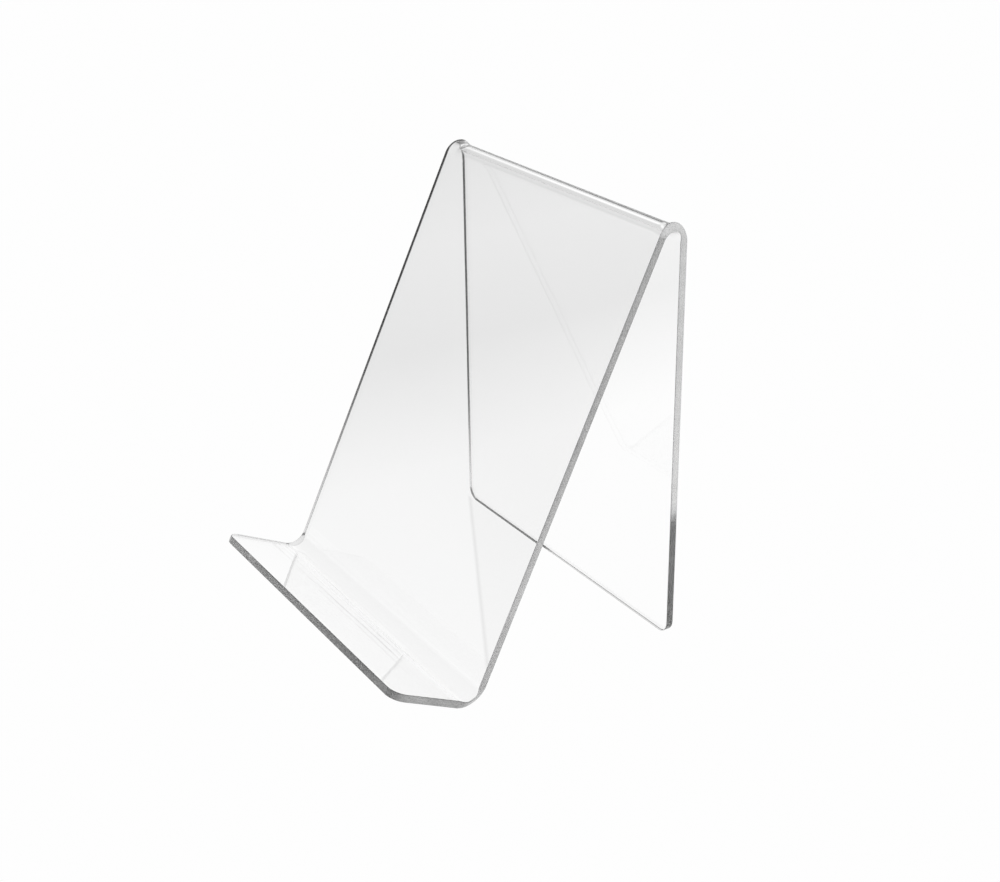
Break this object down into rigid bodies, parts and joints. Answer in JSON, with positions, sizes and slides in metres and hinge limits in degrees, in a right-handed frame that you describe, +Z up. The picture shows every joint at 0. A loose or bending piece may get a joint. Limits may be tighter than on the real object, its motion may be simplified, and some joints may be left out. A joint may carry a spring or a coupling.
{
  "type": "book display stand",
  "caption": "Clear acrylic display stand bent from one sheet: upturned front ledge, sloping back rest, tight bend at the top and an upright rear leg.",
  "frame": {"origin": "on the table, under the middle of the stand's bounding box", "axes": "+X to the reader's right, -Y towards the reader, so the ledge is on the -Y side and the leg on the +Y side, +Z up from the table"},
  "size_m": [0.1472, 0.1244, 0.1671],
  "materials": {
    "clear_acrylic": "polished, colourless and see-through"
  },
  "bodies": {
    "root": {"bent_acrylic_sheet": "clear_acrylic"}
  },
  "joints": []
}
